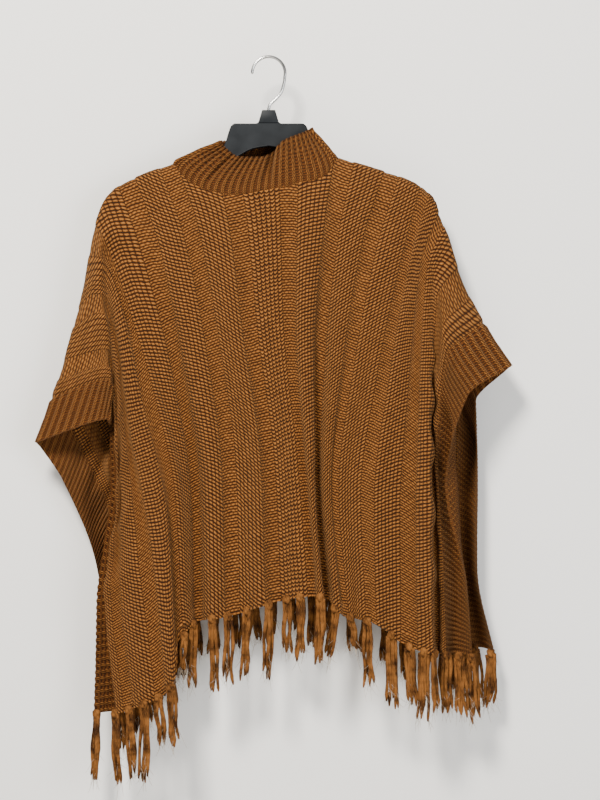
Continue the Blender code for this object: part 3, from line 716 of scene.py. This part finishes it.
# Each side has a band of two-by-two rib, 65 mm wide, picked up along the panels' edges from the front
# hem over the shoulder to the back hem. Over the arms the bands make the cuffs. Their ribs stand
# across the band, and the cast-off edge rolls a little.
RIB_PITCH = 10.0
RIB_STITCHES = 4
SIDE_FOLD_FROM = 128.0
SIDE_FOLD_OVER = 62.0
BACK_FOLD_SHARE = 0.8
RIB_FIRST_STITCH = 4000
RIB_FIRST_ROW = 40
# A fold shaped as half a sine wave: width of cloth over the span it crosses, steepest slope
FOLD_STEEPNESS = [(1, 0), (1.06, 0.5), (1.22, 1), (1.43, 1.5), (1.68, 2), (1.95, 2.5), (2.19, 2.9)]


def band_points(side, edge, ts):
    """Rows of one half of a band. Where its edge hangs near its seam the spare width makes a fold, in
    under the front and out at the back."""
    us = edge * np.concatenate([[PANEL_HALF - 1.5], np.linspace(PANEL_HALF + 1.5, HALF_WIDTH, 17)])
    down = np.repeat(ts[:, None], len(us), axis=1)
    middle, outward = sheet_points(side, us, down)
    span = np.linalg.norm(middle[:, -1] - middle[:, 0], axis=1)
    steep = np.interp(BAND_WIDTH / span, column(FOLD_STEEPNESS, 0), column(FOLD_STEEPNESS, 1))
    below = np.clip((ts - SIDE_FOLD_FROM) / SIDE_FOLD_OVER, 0, 1)
    most = 1.0 if side < 0 else BACK_FOLD_SHARE
    depth = side * most * span * steep / math.pi * below * below * (3 - 2 * below)
    share = np.clip((np.abs(us) - PANEL_HALF) / BAND_WIDTH, 0, 1)
    fold = bend(side, us[None, :], down) + depth[:, None] * np.sin(math.pi * share)[None, :]
    return us, middle + outward * fold[..., None], outward


def side_band(name, edge):
    """One band from the front hem over the shoulder to the back hem, ribbed on both faces."""
    half = np.arange(0.15, HEM_END + 0.1, RIB_PITCH / 6)
    us, front_middle, front_outward = band_points(-1, edge, half)
    us, back_middle, back_outward = band_points(1, edge, half)
    middle = np.concatenate([front_middle[::-1], back_middle])
    outward = np.concatenate([front_outward[::-1], back_outward])
    reach = np.concatenate([-half[::-1], half])[:, None]
    across = (np.abs(us) - PANEL_HALF)[None, :]
    ribs = np.cos(2 * math.pi * reach / RIB_PITCH)
    ribs = np.sign(ribs) * np.abs(ribs) ** 0.7
    fade = np.clip(across / 5, 0, 1)
    rolled = np.clip((across - BAND_WIDTH + 5) / 5, 0, 1)
    relief = 1.4 * ribs * fade * (1 - 0.6 * rolled) + 0.7 * rolled - 1.2 * (1 - fade)
    relief = relief + 0.35 * unevenness(reach, across, 51, 6.0) + 0.6 * unevenness(reach, across, 52, 40.0)
    outer = middle + outward * (WALL / 2 + relief)[..., None]
    inner = middle - outward * (WALL / 2 - 1.2 * ribs * fade)[..., None]
    stitch_x = RIB_STITCHES * (reach / RIB_PITCH - 0.25) + RIB_FIRST_STITCH + 0 * across
    return make_shell(name, outer, inner, stitch_x, across / ROW + RIB_FIRST_ROW + 0 * reach)


# The rib's painted shade between the stitches and painted highlight on their crests.
RIB_PAINTED_GAP_SHADE = (0.030, 0.008, 0.0012)
RIB_PAINTED_CREST_LIGHT = (0.42, 0.165, 0.032)
RIBBED = knit_finish(
    "mustard knit, two by two rib", repeat=RIB_STITCHES, purl=2, middle=RIB_FIRST_STITCH + 100.0,
    groove=0.62, painted_gap_shade=RIB_PAINTED_GAP_SHADE, mid=YARN_MID, painted_crest_light=RIB_PAINTED_CREST_LIGHT, depth=0.0008,
)
band_left = finished(side_band("band_left_rib", -1), RIBBED, "root")
band_right = finished(side_band("band_right_rib", 1), RIBBED, "root")
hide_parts("band_left")
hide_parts("band_right")

# The collar is a short stand of the same rib, about 60 mm tall, picked up round the neckline. It slumps:
# higher on the right, folded in at the middle of the front, and its ribs gather towards the top.
COLLAR_RIBS = 52
COLLAR_HEIGHT = 60
COLLAR_EASE = 16.0
COLLAR_ROWS = 22
POINTS_PER_RIB = 6
# Upper edge of the collar: x, drop, y
COLLAR_TOP_FRONT = [
    (-64, 112, 0), (-61, 115, -8), (-36, 131, -16), (-8, 131, -15), (22, 109, -17), (51, 96, -9),
    (55, 93, 0),
]
COLLAR_TOP_BACK = [(-64, 112, 0), (-61, 110, 8), (-20, 103, 17), (20, 99, 17), (51, 94, 9), (55, 93, 0)]
# Folds pressed into it: share of the way round, half width, depth, and how far up they are deepest
COLLAR_FOLDS = [
    (0.13, 0.014, -6.0, 0.7), (0.21, 0.045, -3.5, 1.0), (0.29, 0.013, -9.0, 0.75), (0.335, 0.02, 3.5, 0.75),
    (0.42, 0.016, -1.6, 0.6), (0.06, 0.02, 2.2, 0.6), (0.70, 0.02, -2.0, 0.7), (0.80, 0.02, 1.6, 0.5),
]


def neck_loop():
    """The panels' neck edge as one loop: places, outward directions and the way on into the collar."""
    loop = []
    for side, order in ((-1, 1), (1, -1)):
        us = np.linspace(-NECK_HALF, NECK_HALF, 61)
        start = scoop(side, us)
        ts = np.stack([start, start + 12])
        middle, outward = sheet_points(side, us, ts)
        middle[0][np.abs(us) >= NECK_HALF, 1] = side * 0.15
        for j in range(len(us))[::order]:
            onward = middle[0, j] - middle[1, j]
            if abs(us[j]) == NECK_HALF:
                onward = np.array([-math.copysign(1, us[j]), 0, 0.7])
            facing = outward[0, j]
            onward = onward - facing * np.dot(onward, facing)
            onward /= np.linalg.norm(onward)
            loop.append(np.concatenate([middle[0, j] - onward * 2.0, facing, onward]))
    return np.array(loop)


def smoothed(rows):
    mixed = rows * 2 + np.roll(rows, 1, axis=0) + np.roll(rows, -1, axis=0)
    return mixed / np.linalg.norm(mixed, axis=1, keepdims=True)


def along_loop(points, count):
    """Evenly spaced places along a closed chain."""
    closed = np.concatenate([points, points[:1]])
    lengths = np.linalg.norm(np.diff(closed[:, :3], axis=0), axis=1)
    reach = np.concatenate([[0], np.cumsum(lengths)])
    marks = np.arange(count) * reach[-1] / count
    return np.stack([np.interp(marks, reach, closed[:, i]) for i in range(closed.shape[1])], axis=1)


def collar_top(base):
    """Where the upper edge lies above each place of the lower one."""
    low, high = base[:, 0].min(), base[:, 0].max()
    tops = []
    for x, y in base[:, :2]:
        table = COLLAR_TOP_FRONT if y < 0 else COLLAR_TOP_BACK
        left, right = table[0][0], table[-1][0]
        across = (x - low) / (high - low)
        share = 0.5 * (0.5 - 0.5 * math.cos(math.pi * across)) + 0.5 * across
        top_x = left + (right - left) * share
        tops.append((top_x, float(eased(column(table, 0), column(table, 2), top_x)),
                     -float(eased(column(table, 0), column(table, 1), top_x))))
    return np.array(tops)


def knit_collar():
    """The ring of rib between the neckline and its upper edge, with its folds pressed in."""
    count = COLLAR_RIBS * POINTS_PER_RIB
    levels = np.linspace(0, 1, COLLAR_ROWS)
    base = along_loop(neck_loop(), count)
    for _ in range(14):
        base[:, 3:6] = smoothed(base[:, 3:6])
        base[:, 6:9] = smoothed(base[:, 6:9])
    top = collar_top(base)
    knee = base[:, :3] + base[:, 6:9] * COLLAR_EASE
    s = levels[:, None, None]
    middle = base[None, :, :3] * (1 - s) ** 2 + knee[None] * 2 * s * (1 - s) + top[None] * s * s
    ahead = np.roll(middle, -2, axis=1) - np.roll(middle, 2, axis=1)
    up = np.gradient(middle, axis=0)
    outward = np.cross(ahead, up)
    outward /= np.linalg.norm(outward, axis=2, keepdims=True)
    outward[0] = base[:, 3:6]
    turn = np.arange(count)[None, :] / POINTS_PER_RIB
    share = np.arange(count)[None, :] / count
    level = levels[:, None]
    ribs = np.cos(2 * math.pi * turn)
    ribs = np.sign(ribs) * np.abs(ribs) ** 0.75
    rise = np.clip(level * 8, 0, 1)
    relief = 1.8 * ribs * rise + 0.9 * np.clip((level - 0.9) / 0.1, 0, 1)
    for centre, width, depth, deepest in COLLAR_FOLDS:
        lift = np.exp(-((level - deepest) / 0.45) ** 2)
        relief = relief + depth * np.exp(-((share - centre) / width) ** 2) * lift
    relief = relief + 0.35 * unevenness(turn * RIB_PITCH, level * COLLAR_HEIGHT, 71, 6.0)
    shift = relief - 1.0 * (1 - rise)
    outer = middle + outward * (WALL / 2 + shift)[..., None]
    inner = middle - outward * (WALL / 2 - 0.8 * relief)[..., None]
    turns = np.arange(count + 1)[None, :] / POINTS_PER_RIB
    stitch_x = RIB_STITCHES * (turns - 0.25) + RIB_FIRST_STITCH + 0 * level
    stitch_y = COLLAR_HEIGHT * level / ROW + RIB_FIRST_ROW + 0 * turns
    return make_shell("collar_rib", outer, inner, stitch_x, stitch_y, ring=True)


collar = finished(knit_collar(), RIBBED, "root")
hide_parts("collar")

# Tassels of the same yarn are looped through the cast-on edge and pulled tight, front and back. Each
# has a small hard knot at the hem and three to five soft threads, which hang side by side, spread a
# little and end in thin pale wisps.
THREAD_RADIUS = 2.3
THREAD_PITCH = 3.7
KNOT_ALONG = (6.2, 5.4, 3.2, 0.5, -2.4, -4.6, -6.0)
KNOT_RADII = [1.6, 3.8, 5.2, 5.6, 5.0, 4.0, 2.6]
WISPS_PER_THREAD = 9
# Front tassels: x at the hem, length, threads, and how far the ends swing sideways
FRONT_TASSELS = [
    (-223, 92, 4, -3), (-198, 92, 4, 2), (-180, 87, 4, 3), (-160, 101, 4, -2), (-141, 62, 4, 5),
    (-125, 75, 4, 2), (-111, 45, 3, -4), (-99, 82, 4, -2), (-72, 91, 4, 2), (-53, 85, 4, -1),
    (-27, 88, 4, -3), (0, 95, 4, -2), (24, 71, 4, 0), (42, 81, 4, -3), (67, 91, 4, -4),
    (88, 65, 4, -12), (106, 40, 3, 6), (129, 82, 4, 2), (159, 94, 5, 3), (183, 78, 5, 4),
    (201, 87, 5, -2), (212, 73, 4, 3), (231, 78, 5, 2), (248, 80, 5, 4), (266, 83, 4, 6),
]
BACK_TASSELS = 26


def hem_place(side, us):
    """The hem's edge at these places: middle, outward direction and the way down."""
    us = np.asarray(us, float)
    ts = np.stack([np.full(len(us), HEM_END - 12), np.full(len(us), HEM_END)])
    middle, outward = sheet_points(side, us, ts)
    down = middle[1] - middle[0]
    return middle[1], outward[1], down / np.linalg.norm(down, axis=1, keepdims=True)


def front_tassels():
    """u, length, threads and swing of the front's tassels, found from their places along the hem."""
    us = np.linspace(-HALF_WIDTH + 4, HALF_WIDTH - 4, 300)
    xs = hem_place(-1, us)[0][:, 0]
    return [(float(np.interp(x, xs, us)), *rest) for x, *rest in FRONT_TASSELS]


def back_tassels():
    """The same for the back's, spread almost evenly along its hem."""
    spacing = 2 * (HALF_WIDTH - 12) / (BACK_TASSELS - 1)
    rows = []
    for k in range(BACK_TASSELS):
        u = k * spacing - (HALF_WIDTH - 12) + 3.5 * math.sin(5.1 * k + 1)
        rows.append((u, 72 + 9 * math.sin(2.7 * k + 1.3), 4 + k % 2, 4 * math.sin(3.9 * k + 2)))
    return rows


class YarnHeap:
    """Collects round strands of yarn into one mesh, with the distance along each in its UV map."""

    def __init__(self):
        self.points = []
        self.faces = []
        self.uvs = []

    def add(self, path, radii, sides, rough, rng):
        path = np.asarray(path, float)
        along = np.gradient(path, axis=0)
        along /= np.linalg.norm(along, axis=1, keepdims=True)
        side = np.cross(along, (0.0, 1.0, 0.0))
        side /= np.linalg.norm(side, axis=1, keepdims=True)
        other = np.cross(along, side)
        start = len(self.points)
        grain = rng.uniform(1 - rough, 1 + rough, (len(path), sides))
        lengths = np.concatenate([[0], np.cumsum(np.linalg.norm(np.diff(path, axis=0), axis=1))])
        turn = rng.uniform(0, 2 * math.pi)
        for i in range(len(path)):
            for k in range(sides):
                angle = 2 * math.pi * k / sides
                groove = 1 + 0.16 * math.cos(3 * angle + turn + 0.04 * lengths[i])
                reach = radii[i] * grain[i, k] * groove
                sideways = side[i] * math.cos(angle) * reach
                self.points.append(path[i] + sideways + other[i] * math.sin(angle) * reach)
        for i in range(len(path) - 1):
            for k in range(sides):
                after = (k + 1) % sides
                a, b = start + i * sides, start + (i + 1) * sides
                self.faces.append((a + k, b + k, b + after, a + after))
                near, far = lengths[i], lengths[i + 1]
                self.uvs += [(k, near), (k, far), (k + 1, far), (k + 1, near)]
        for i, ring in ((0, range(sides)), (len(path) - 1, range(sides)[::-1])):
            self.faces.append(tuple(start + i * sides + k for k in ring))
            self.uvs += [(k, lengths[i]) for k in ring]

    def build(self, name):
        mesh = bpy.data.meshes.new(name)
        mesh.from_pydata((np.array(self.points) * MM).tolist(), [], self.faces)
        layer = mesh.uv_layers.new(name="strands")
        layer.data.foreach_set("uv", np.array(self.uvs, float).ravel())
        thing = added(name, mesh)
        shape = bmesh.new()
        shape.from_mesh(mesh)
        bmesh.ops.recalc_face_normals(shape, faces=shape.faces)
        shape.to_mesh(mesh)
        shape.free()
        mesh.shade_smooth()
        return thing


def strand_path(root, down, swing, length, wave, depth, rng, steps=20):
    """A soft strand: it leaves along the hem's own direction and then hangs, with slow waves."""
    s = np.linspace(0, 1, steps)
    phase = rng.uniform(0, 2 * math.pi, 3)
    fall = np.array([0, 0, -1.0])
    bend = np.clip(s * 3, 0, 1)[:, None]
    way = down[None, :] * (1 - bend) + fall[None, :] * bend
    path = root + (np.cumsum(way, axis=0) - way[0]) * length / (steps - 1)
    ripple = np.sin(s * math.pi * 2.6 + phase[0]) - math.sin(phase[0])
    path[:, 0] += swing * s ** 1.4 + wave * ripple * np.sqrt(s)
    path[:, 1] += depth * s + 1.6 * np.sin(s * 6 + phase[1]) * s
    return path


def knit_fringe(side, tassels, seed):
    """All the tassels of one hem and the wisps at their ends."""
    rng = np.random.default_rng(seed)
    yarn = YarnHeap()
    wisps = YarnHeap()
    places, facings, downs = hem_place(side, [row[0] for row in tassels])
    for (u, length, threads, swing), place, facing, down in zip(tassels, places, facings, downs):
        knot = place + facing * 1.8
        across = np.cross(down, facing)
        knot_path = [knot - down * reach for reach in KNOT_ALONG]
        yarn.add(knot_path, KNOT_RADII, 12, 0.12, rng)
        for n in range(threads):
            offset = (n - (threads - 1) / 2) * THREAD_PITCH
            root = knot + across * offset * 0.7 + down * 1.0 + facing * rng.uniform(-1.8, 1.8)
            own = length * rng.uniform(0.86, 1.03)
            apart = side * offset * rng.uniform(-0.1, 0.5)
            path = strand_path(root, down, swing + apart, own, rng.uniform(0.7, 2.1),
                               side * rng.uniform(-3.0, 3.0), rng)
            s = np.linspace(0, 1, len(path))
            radii = THREAD_RADIUS * (1 + 0.10 * np.sin(s * 11 + rng.uniform(0, 6))) * (1 - 0.12 * s)
            radii[-2:] *= (0.8, 0.4)
            yarn.add(path, radii, 10, 0.10, rng)
            for _ in range(WISPS_PER_THREAD):
                i = rng.integers(11, len(path) - 1)
                direction = rng.normal(0, 1, 3) * (0.2, 0.06, 0.25) + (0, 0, -1.0)
                reach = rng.uniform(8, 21)
                curl = rng.normal(0, 1, 3) * (4, 1, 2)
                q = np.linspace(0, 1, 7)[:, None]
                hair = path[i] + direction * reach * q + curl * q * q
                wisps.add(hair, np.linspace(0.36, 0.14, 7), 3, 0.0, rng)
    return yarn, wisps


def strand_finish(name, dark, light, sheen, veil):
    """Loose yarn: fine lengthwise fibres and slow changes of colour. Wisps let some light through."""
    finish, tree, shader = new_finish(name)
    uv = tree.nodes.new("ShaderNodeUVMap")
    uv.uv_map = "strands"
    stretch = tree.nodes.new("ShaderNodeMapping")
    stretch.inputs["Scale"].default_value = (1.0, 0.09, 1.0)
    tree.links.new(uv.outputs["UV"], stretch.inputs["Vector"])
    fibres = noise(tree, stretch.outputs["Vector"], 2.6, 4.0, 0.65)
    place = tree.nodes.new("ShaderNodeTexCoord").outputs["Object"]
    patchy = noise(tree, place, 70.0, 2.0)
    both = calc(tree, "MULTIPLY_ADD", spread(tree, patchy, 0.3, 0.7, -0.5, 0.5), 0.4, fibres)
    tree.links.new(ramp(tree, both, [(0.3, dark), (0.72, light)]), shader.inputs["Base Color"])
    shader.inputs["Roughness"].default_value = 0.95
    shader.inputs["Specular IOR Level"].default_value = 0.15
    shader.inputs["Sheen Weight"].default_value = sheen
    shader.inputs["Sheen Roughness"].default_value = 0.5
    shader.inputs["Alpha"].default_value = veil
    bumped(tree, shader, fibres, 0.8, 0.0012)
    return finish


TASSEL_YARN = strand_finish(
    "mustard yarn, brushed", (0.020, 0.0060, 0.0009), (0.25, 0.096, 0.021), sheen=0.0, veil=1.0
)
WISPS = strand_finish("pale yarn ends", (0.42, 0.28, 0.15), (0.72, 0.60, 0.46), sheen=0.5, veil=0.75)

front_yarn, front_ends = knit_fringe(-1, front_tassels(), 5)
back_yarn, back_ends = knit_fringe(1, back_tassels(), 9)
front_fringe = finished(front_yarn.build("front_tassels"), TASSEL_YARN, "root")
back_fringe = finished(back_yarn.build("back_tassels"), TASSEL_YARN, "root")
front_wisps = finished(front_ends.build("front_wisps"), WISPS, "root")
back_wisps = finished(back_ends.build("back_wisps"), WISPS, "root")
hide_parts("front_fringe")
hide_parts("back_fringe")

# The stage: a plain pale wall close behind, which only catches the soft shadows, and a pale floor well
# below. The wall is seen from its front alone, so that the back of the garment can be looked at too.
WALL_PLACE = 0.052
FLOOR_DROP = 1.08


def wall_finish():
    finish, tree, shader = new_finish("pale painted wall")
    place = tree.nodes.new("ShaderNodeTexCoord").outputs["Object"]
    cloudy = noise(tree, place, 1.3, 2.0)
    tree.links.new(ramp(tree, cloudy, [(0.3, (0.88, 0.86, 0.82)), (0.7, (0.91, 0.89, 0.86))]),
                   shader.inputs["Base Color"])
    shader.inputs["Roughness"].default_value = 0.85
    bumped(tree, shader, noise(tree, place, 260.0, 3.0), 0.1, 0.0006)
    clear = tree.nodes.new("ShaderNodeBsdfTransparent")
    mix = tree.nodes.new("ShaderNodeMixShader")
    facing = tree.nodes.new("ShaderNodeNewGeometry")
    tree.links.new(facing.outputs["Backfacing"], mix.inputs[0])
    tree.links.new(shader.outputs[0], mix.inputs[1])
    tree.links.new(clear.outputs[0], mix.inputs[2])
    tree.links.new(mix.outputs[0], tree.nodes["Material Output"].inputs["Surface"])
    return finish


bpy.ops.mesh.primitive_plane_add(size=9, location=(0, WALL_PLACE, 1.0), rotation=(math.radians(90), 0, 0))
wall = bpy.context.object
wall.name = "backdrop"
wall.data.materials.append(wall_finish())
wall.visible_diffuse = False
wall.visible_glossy = False
wall.visible_shadow = False

bpy.ops.mesh.primitive_plane_add(size=9, location=(0, -3.0, -FLOOR_DROP))
floor = bpy.context.object
floor.name = "floor"
floor_paint, floor_tree, floor_shader = new_finish("pale floor")
floor_shader.inputs["Base Color"].default_value = (0.74, 0.73, 0.71, 1)
floor_shader.inputs["Roughness"].default_value = 0.7
floor.data.materials.append(floor_paint)

# Soft daylight from the upper left in front, a weak fill from the right, and an even sky. The camera
# stands square to the wall, at the height of the garment's middle.
CAMERA_PLACE = (0.041, -2.62, -0.448)
CAMERA_LENS = 90.0


def soft_light(name, place, aim, size, power, colour):
    lamp = bpy.data.lights.new(name, "AREA")
    lamp.shape = "DISK"
    lamp.size = size
    lamp.energy = power
    lamp.color = colour
    thing = added(name, lamp)
    thing.location = place
    way = np.array(aim) - np.array(place)
    flat = math.hypot(way[0], way[1])
    thing.rotation_euler = (math.atan2(flat, -way[2]), 0, math.atan2(-way[0], way[1]))


soft_light("window", (-0.8, -2.2, 1.5), (0, 0, -0.55), 0.7, 196, (1.0, 0.96, 0.90))
soft_light("fill", (1.9, -2.5, -0.5), (0.2, 0, -0.6), 1.8, 66, (0.92, 0.96, 1.0))

sky = bpy.data.worlds.new("even sky")
sky.use_nodes = True
sky.node_tree.nodes["Background"].inputs["Color"].default_value = (0.92, 0.94, 1.0, 1)
sky.node_tree.nodes["Background"].inputs["Strength"].default_value = 0.27
bpy.context.scene.world = sky

camera_data = bpy.data.cameras.new("camera")
camera_data.lens = CAMERA_LENS
camera_data.sensor_width = 36.0
camera = added("camera", camera_data)
camera.location = CAMERA_PLACE
camera.rotation_euler = (math.radians(90), 0, 0)
bpy.context.scene.camera = camera
